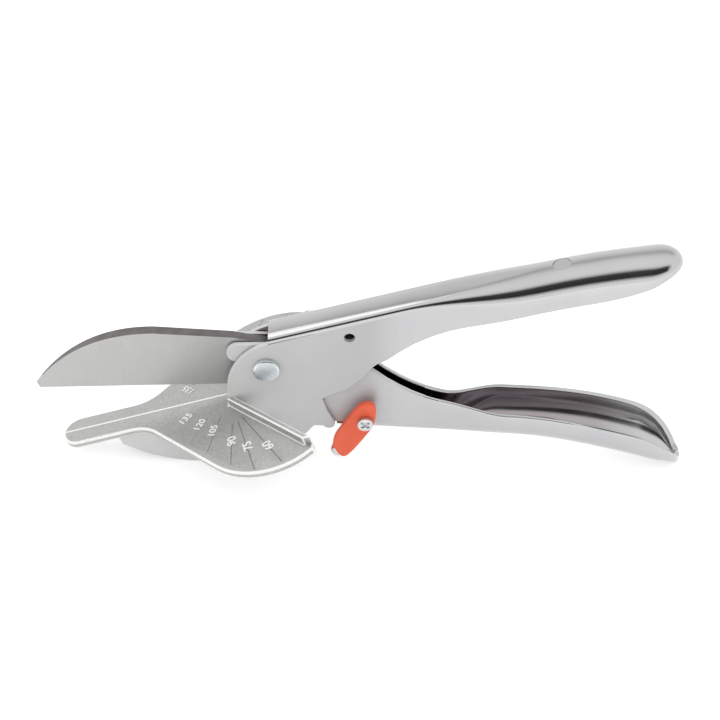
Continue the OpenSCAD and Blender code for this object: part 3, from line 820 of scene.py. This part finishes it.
def half_outline():
    """One wing and half of the tongue seen from above, from the ridge's heel to its tip."""
    tip_r = TONGUE_HALF - TIP_FLAT
    flank_sum = WING_U + WING_V + WING_R * math.sqrt(2)
    flank_c = (flank_sum - TONGUE_HALF + FLANK_R * (math.sqrt(2) - 1), TONGUE_HALF + FLANK_R)
    end_u = FENCE_BACK - FENCE_END
    end_angle = math.degrees(math.acos((end_u - WING_U) / WING_R))
    tip_angles = [math.pi / 2 * (1 - i / 20) for i in range(21)]
    points = [(TABLE_HEEL, 0), (TABLE_HEEL, LOWER_HALF)]
    points += [(SEAT_U + SEAT_GAP, LOWER_HALF), (SEAT_U + SEAT_GAP, SEAT_V)]
    points += [(FENCE_BACK - SEAT_V, SEAT_V), (end_u, FENCE_END)]
    points += arc((WING_U, WING_V), WING_R, end_angle, 45, 48)
    points += arc(flank_c, FLANK_R, 225, 270, 16)
    points += [(TABLE_REACH - tip_r + tip_r * math.cos(a), TONGUE_HALF * math.sin(a)) for a in tip_angles]
    return points


def on_wing(u, v, h, side):
    """A point of a wing: distance in front, across and above its top, on the near (-1) or far (1) side."""
    across = v * math.cos(WING_SLOPE) + h * math.sin(WING_SLOPE)
    return TABLE @ Vector((-u, side * across, h * math.cos(WING_SLOPE) - v * math.sin(WING_SLOPE)))


def table_top():
    """Both wings as one skin: each half's prism without the wall along the ridge."""
    points = half_outline()
    count = len(points)
    vertices = []
    faces = []
    for side in SIDES:
        first = len(vertices)
        for h in (0, -TABLE_T):
            vertices += [on_wing(u, v, h, side) for u, v in points]
        walls = [face for face in prism_faces(count) if face[:2] != (count - 1, 0)]
        faces += [tuple(first + i for i in face) for face in walls]
    mesh = mesh_from(vertices, faces, JOIN)
    return cut(bevelled(mesh, TABLE_ROUNDING), angle_grooves())


def angle_grooves():
    """V-shaped prisms along the lines of both wings."""
    vertices = []
    faces = []
    for side in SIDES:
        for angle, (u, v, length) in ANGLE_LINES.items():
            cos = math.cos(math.radians(angle))
            sin = math.sin(math.radians(angle))
            first = len(vertices)
            for far in (0, length):
                for across, h in GROOVE:
                    place_u = u - far * cos + across * sin
                    place_v = v + far * sin + across * cos
                    vertices.append(on_wing(place_u, place_v, h, side))
            faces += [tuple(first + i for i in face) for face in prism_faces(len(GROOVE))]
    return mesh_from(vertices, faces)


def number_mesh(angle, side):
    """One raised number, which reads along its line from the handles."""
    curve = bpy.data.curves.new("number", "FONT")
    curve.body = str(angle)
    curve.size = NUMBER_SIZE if angle < 100 else LONG_NUMBER_SIZE
    curve.extrude = NUMBER_HALF_H
    curve.offset = NUMBER_BOLD
    curve.align_x = "CENTER"
    curve.align_y = "CENTER"
    mesh = evaluated_mesh(bpy.data.objects.new("number", curve))
    u, v = NUMBER_PLACES[angle]
    spin = Matrix.Rotation(math.radians(angle if side > 0 else 180 - angle), 4, "Z")
    lean = Matrix.Rotation(-side * WING_SLOPE, 4, "X")
    mesh.transform(TABLE @ lean @ Matrix.Translation((-u, side * v, NUMBER_LIFT)) @ spin)
    return mesh


def wing_prism(outline, low, high, side):
    """A prism that stands on a wing, between two heights above its top."""
    vertices = [on_wing(u, v, h, side) for h in (low, high) for u, v in outline]
    return mesh_from(vertices, prism_faces(len(outline)))


def fence_strip(front, back):
    """A strip between two 45 degree lines, each given by its sum of distances."""
    inner = [(front - SEAT_V, SEAT_V), (back - SEAT_V, SEAT_V)]
    return inner + [(back - FENCE_END, FENCE_END), (front - FENCE_END, FENCE_END)]


def fence(side):
    strip = fence_strip(FENCE_SUM, FENCE_BACK)
    return bevelled(wing_prism(strip, -TABLE_T / 2, FENCE_H, side), FENCE_ROUNDING)


def bright_marks(side):
    """Painted highlights along half of the ridge and at the fence's foot, and the raised numbers of bare
    metal.
    """
    start, end = RIDGE_MARK_U
    ridge = [(start, 0), (end, 0), (end, RIDGE_MARK_V), (start, RIDGE_MARK_V)]
    marks = [wing_prism(ridge, -MARK_SINK, RIDGE_MARK_H, side)]
    marks += [wing_prism(fence_strip(*FOOT_MARK_SUMS), -MARK_SINK, FOOT_MARK_H, side)]
    return marks + [number_mesh(angle, side) for angle in NUMBER_PLACES]


def table_tang():
    """The bar under the table between the side plates; its sloped back end is the stop."""
    start = turned(STOP_FROM, -TABLE_ANGLE)
    end = turned(STOP_TO, -TABLE_ANGLE)
    slope = (end[0] - start[0]) / (end[1] - start[1])
    heights = (-TABLE_T - 1, -TABLE_TANG_H)
    outline = [(-TABLE_TANG_U, -TABLE_T / 2), (-TABLE_HEEL, -TABLE_T / 2), (-TABLE_HEEL, -TABLE_T)]
    outline += [(start[0] + slope * (h - RIDGE_OFFSET - start[1]) - STOP_GAP, h) for h in heights]
    outline += [(-TABLE_TANG_U / 2, -TABLE_TANG_H)]
    mesh = flat_piece(outline, 2 * LOWER_HALF, TABLE_TANG_ROUNDING)
    mesh.transform(TABLE @ Matrix.Rotation(math.pi / 2, 4, "X"))
    return mesh


def mitre_table():
    # The rounded edges of the table and fences take the pale zinc as a painted highlight.
    shells = [(table_top(), CAST, BARE_AND_HIGHLIGHT), (table_tang(), CAST)]
    for side in SIDES:
        shells += [(fence(side), CAST, BARE_AND_HIGHLIGHT)]
        shells += [(mark, BARE_AND_HIGHLIGHT) for mark in bright_marks(side)]
    piece("cast_table", "upper", shells, "mitre_table")


# Blade
BLADE_REACH = 88.2
EDGE_OFFSET = 12.4
EDGE_T = 0.3
BLADE_T = 4.3
HEEL_X = -3
TIP_LIFT = 2.8
TIP_LEN = 0.9
SPINE_Z = 13.7
# The spine's curve, along from the tip and above the spine, and its back down to the tang
SPINE_CURVE = [(10.9, -9.6), (25.9, 0), (46.2, 0)]
SPINE_BACK = [(-12.7, -2.2), (-7.6, -3.4), (6, -5.5)]
TANG_C = (9.4, 0.8)
TANG_R = 4.4
TANG_ARC = 80
TANG_FOOT = (2, -8.8)
# Narrow faces at least this high above the edge are dark with scale
SCALE_FROM = 1


def blade_outline():
    tip = turned((-BLADE_REACH, TIP_LIFT - EDGE_OFFSET), EDGE_DIP)
    edge = [turned((x, -EDGE_OFFSET), EDGE_DIP) for x in (HEEL_X, TIP_LEN - BLADE_REACH)]
    curve = [tip] + [(x - BLADE_REACH, SPINE_Z + z) for x, z in SPINE_CURVE]
    outline = edge + [tip] + [cubic(curve, i / 40) for i in range(1, 41)]
    outline += [(x, SPINE_Z + z) for x, z in SPINE_BACK]
    return outline + arc(TANG_C, TANG_R, TANG_ARC, -TANG_ARC, 12) + [TANG_FOOT]


def ground_blade():
    """A wedge that thickens from the edge up to the spine."""
    outline = blade_outline()
    vertices = []
    for side in SIDES:
        for x, z in outline:
            rise = min(1, (turned((x, z), -EDGE_DIP)[1] + EDGE_OFFSET) / (SPINE_Z + EDGE_OFFSET))
            vertices.append(TOOL @ Vector((x, side * mix(EDGE_T, BLADE_T, rise) / 2, z)))
    mesh = mesh_from(vertices, prism_faces(len(outline)))
    scale_z = (TOOL @ Vector((0, 0, SCALE_FROM - EDGE_OFFSET))).z
    for face in mesh.polygons:
        face.material_index = int(abs(face.normal.y) < 0.5 and face.center.z > scale_z)
    piece("ground_blade", "lower", [(mesh, STEEL, SCALE)], "blade")


# Lock lever: its outline round the screw, its two faces, and the tab behind the toe that holds the stud
LOCK_OUTLINE = [
    (-0.4, 8.1), (2.4, 8.1), (4, 5.4), (3.8, 0.2), (1.6, -5.7), (-7.4, -18.4),
    (-12, -13.8), (-11.7, -8.6), (-8.9, -3.3), (-5.5, 2.6), (-2.4, 6.9),
]
LOCK_GAP = 0.35
LOCK_T = 2.8
LOCK_BACK_Y = -UPPER_HALF - LOCK_GAP
LOCK_FRONT_Y = LOCK_BACK_Y - LOCK_T
LOCK_ROUNDING = 0.6
TAB_R = 2.8
TAB_T = 1.2
TAB_ROUNDING = 0.2


def lock_lever():
    outline = [tuple(LOCK_AT + Vector(p)) for p in rounded_loop(LOCK_OUTLINE)]
    tab = circle(stud_at(STUD_ANGLE), TAB_R, 36)
    shells = [(side_plate(outline, LOCK_FRONT_Y, LOCK_BACK_Y, LOCK_ROUNDING), RED)]
    shells += [(side_plate(tab, LOCK_BACK_Y - TAB_T, LOCK_BACK_Y, TAB_ROUNDING), RED)]
    piece("enamelled_lever", "lock", shells, "lock_lever")


# Return spring: a leg up to the web, the coil round its post, and a leg to the bottom web
WIRE_R = 0.5
POST_AT = (19, -4)
COIL_R = 4
COIL_SWEEP = 450
COIL_PITCH = 1.7
COIL_STEPS = 50
LEG_STEPS = 12
UPPER_LEG_X = POST_AT[0] + COIL_R
UPPER_LEG_FOOT = 1.2
# How much thicker the sloped web is when measured upright, and how far the wire's end lies below it
WEB_SLANT = 1.05
UPPER_LEG_GAP = 0.8
LOWER_LEG_END = (31, -27.5)


def coil_point(share, width):
    a = math.radians(-COIL_SWEEP * share)
    across = mix(-width / 2, width / 2, share)
    return Vector((POST_AT[0] + COIL_R * math.cos(a), across, POST_AT[1] + COIL_R * math.sin(a)))


def return_spring():
    width = COIL_PITCH * COIL_SWEEP / 360
    leg_top = top_z(UPPER_LEG_X) - UPPER_T * WEB_SLANT - UPPER_LEG_GAP
    first = Vector((UPPER_LEG_X, -width / 2, leg_top))
    foot = Vector((UPPER_LEG_X, -width / 2, POST_AT[1] + UPPER_LEG_FOOT))
    last = Vector((LOWER_LEG_END[0], width / 2, LOWER_LEG_END[1]))
    points = [first.lerp(foot, i / LEG_STEPS) for i in range(LEG_STEPS + 1)]
    points += [coil_point(i / COIL_STEPS, width) for i in range(COIL_STEPS + 1)]
    coil_end = points[-1]
    points += [coil_end.lerp(last, i / LEG_STEPS) for i in range(1, LEG_STEPS + 1)]
    curve = bpy.data.curves.new("wire", "CURVE")
    curve.dimensions = "3D"
    curve.bevel_depth = WIRE_R * MM
    curve.bevel_resolution = 4
    curve.use_fill_caps = True
    spline = curve.splines.new("POLY")
    spline.points.add(len(points) - 1)
    for spline_point, point in zip(spline.points, points):
        spline_point.co = (*(TOOL @ point), 1)
    mesh = smooth(evaluated_mesh(bpy.data.objects.new("wire", curve)), 60)
    mesh.materials.append(WIRE)
    obj = bpy.data.objects.new("coil_spring", mesh)
    add_to_scene(obj)
    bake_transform(obj)
    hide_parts("return_spring")


# Fasteners: the solids' own shapes with softened edges
SOFT_EDGE = 0.2
FINE_EDGE = 0.12
# Vertices this near become one, and faces whose directions differ this little become one
SOLID_JOIN = 0.005
FLAT_ANGLE = math.radians(2)
# Faces that lean this much across the shears are chamfers
CHAMFER_LEAN = (0.3, 0.97)


def softened(node, body, width, *materials):
    """A fastener with rounded edges; a second material goes on its chamfers."""
    mesh = nodes[node].data.copy()
    mesh.materials.clear()
    bm = bmesh.new()
    bm.from_mesh(mesh)
    bmesh.ops.remove_doubles(bm, verts=bm.verts, dist=SOLID_JOIN * MM)
    bmesh.ops.dissolve_limit(bm, angle_limit=FLAT_ANGLE, verts=bm.verts, edges=bm.edges)
    bm.to_mesh(mesh)
    bm.free()
    for face in mesh.polygons:
        face.material_index = int(CHAMFER_LEAN[0] < abs(face.normal.y) < CHAMFER_LEAN[1])
    piece("soft_" + node, body, [(bevelled(mesh, width, segments=2), *materials)], node)


def paint(node, material):
    nodes[node].data.materials.clear()
    nodes[node].data.materials.append(material)


upper_lever()
lower_lever()
mitre_table()
ground_blade()
lock_lever()
return_spring()
softened("pivot_bolt", "upper", SOFT_EDGE, BLUED, ZINC)
softened("pivot_nut", "upper", SOFT_EDGE, BLUED)
softened("lock_screw", "lower", FINE_EDGE, ZINC)
softened("lock_stud", "lock", SOFT_EDGE, ZINC)
softened("table_screws", "upper", SOFT_EDGE, ZINC)
softened("table_nuts", "upper", SOFT_EDGE, ZINC)
for name in ("pivot_washer", "lock_spacer", "lock_nut", "lock_washer"):
    paint(name, ZINC)
for name in ("pivot_sleeve", "blade_rivets", "spring_post"):
    paint(name, STEEL)


# Stage: a white floor that keeps the shadow, from corner to corner in metres
FLOOR_LOW = (-2, -2)
FLOOR_HIGH = (2, 3)
FLOOR_GLOW = 0.45


def white_floor():
    material = bpy.data.materials.new("white_floor")
    material.use_nodes = True
    tree = material.node_tree
    shader = tree.nodes["Principled BSDF"]
    shader.inputs["Base Color"].default_value = (*grey(0.8), 1)
    shader.inputs["Roughness"].default_value = 0.9
    shader.inputs["Specular IOR Level"].default_value = 0
    shader.inputs["Emission Color"].default_value = (*grey(1), 1)
    rays = tree.nodes.new("ShaderNodeLightPath")
    mirrored = calc(tree, "MAXIMUM", rays.outputs["Is Glossy Ray"], rays.outputs["Is Transmission Ray"])
    seen = calc(tree, "MAXIMUM", rays.outputs["Is Camera Ray"], mirrored)
    tree.links.new(calc(tree, "MULTIPLY", seen, FLOOR_GLOW), shader.inputs["Emission Strength"])
    (x0, y0), (x1, y1) = FLOOR_LOW, FLOOR_HIGH
    mesh = mesh_from([(x0, y0, 0), (x1, y0, 0), (x1, y1, 0), (x0, y1, 0)], [(0, 1, 2, 3)])
    mesh.materials.append(material)
    obj = bpy.data.objects.new("floor", mesh)
    add_to_scene(obj)


# Light: a bright room above and behind, and a dark one low on the camera's side, as chrome shows it
WORLD_STRENGTH = 1.85
# Brightness along the sweep from the horizon behind (0) over the top to the camera's side (1)
SWEEP_LEVELS = {
    0: 0.62, 0.12: 0.62, 0.22: 0.5, 0.28: 0.36, 0.33: 0.45, 0.42: 0.6, 0.53: 0.64, 0.64: 0.64,
    0.69: 0.56, 0.725: 0.3, 0.755: 0.04, 0.88: 0.02, 0.92: 0.4, 0.955: 0.64, 1: 0.66,
}
# Sideways directions between these fade to an even level
ASIDE = (0.5, 0.75)
ASIDE_LEVEL = 0.64
LAMP_TARGET = Vector((0, 0, 0.04))


def studio_world():
    world = bpy.data.worlds.new("studio")
    bpy.context.scene.world = world
    world.use_nodes = True
    tree = world.node_tree
    place = tree.nodes.new("ShaderNodeTexCoord")
    axes = tree.nodes.new("ShaderNodeSeparateXYZ")
    tree.links.new(place.outputs["Generated"], axes.inputs[0])
    height = calc(tree, "ABSOLUTE", axes.outputs["Z"])
    sweep = calc(tree, "ARCTAN2", height, axes.outputs["Y"])
    ramp = tree.nodes.new("ShaderNodeValToRGB")
    tree.links.new(calc(tree, "DIVIDE", sweep, math.pi), ramp.inputs["Fac"])
    fill_ramp(ramp, [(position, grey(level)) for position, level in SWEEP_LEVELS.items()])
    aside = tree.nodes.new("ShaderNodeMapRange")
    aside.inputs["From Min"].default_value = ASIDE[0]
    aside.inputs["From Max"].default_value = ASIDE[1]
    tree.links.new(calc(tree, "ABSOLUTE", axes.outputs["X"]), aside.inputs["Value"])
    light = mixed(tree, aside.outputs["Result"], ramp.outputs["Color"], grey(ASIDE_LEVEL))
    background = tree.nodes["Background"]
    background.inputs["Strength"].default_value = WORLD_STRENGTH
    tree.links.new(light, background.inputs["Color"])


def soft_lamp(name, place, size, power, mirrored=True):
    """A square lamp aimed at the part, in metres; chrome shows it only where it is mirrored."""
    lamp = bpy.data.lights.new(name, "AREA")
    lamp.shape = "SQUARE"
    lamp.size = size
    lamp.energy = power
    obj = bpy.data.objects.new(name, lamp)
    obj.location = place
    obj.visible_glossy = mirrored
    obj.rotation_euler = (LAMP_TARGET - Vector(place)).to_track_quat("-Z", "Y").to_euler()
    add_to_scene(obj)


# Camera: the photograph's, fitted in the tool's own frame
AZIMUTH = math.radians(-0.4)
ELEVATION = math.radians(40.5)
DISTANCE = 674
SIDEWAYS = 35
UPWARDS = -0.94
SENSOR_WIDTH = 36
LENS = 89.5


def photo_camera():
    level = math.cos(ELEVATION)
    sideways = Vector((math.cos(AZIMUTH), math.sin(AZIMUTH), 0))
    back = Vector((math.sin(AZIMUTH) * level, -math.cos(AZIMUTH) * level, math.sin(ELEVATION)))
    up = back.cross(sideways)
    place = DISTANCE * back + SIDEWAYS * sideways + UPWARDS * up
    camera = bpy.data.cameras.new("camera")
    camera.sensor_width = SENSOR_WIDTH
    camera.lens = LENS
    obj = bpy.data.objects.new("camera", camera)
    turn = Matrix.Rotation(-PITCH, 3, "Y")
    axes = Matrix((turn @ sideways, turn @ up, turn @ back)).transposed()
    obj.matrix_world = Matrix.Translation(TOOL @ place) @ axes.to_4x4()
    add_to_scene(obj)
    bpy.context.scene.camera = obj


white_floor()
studio_world()
soft_lamp("key_lamp", (-0.62, 0.45, 0.95), 0.42, 0.6)
soft_lamp("fill_lamp", (-0.1, -0.95, 0.8), 0.8, 3.6, mirrored=False)
photo_camera()
bpy.context.scene.view_settings.view_transform = "Standard"
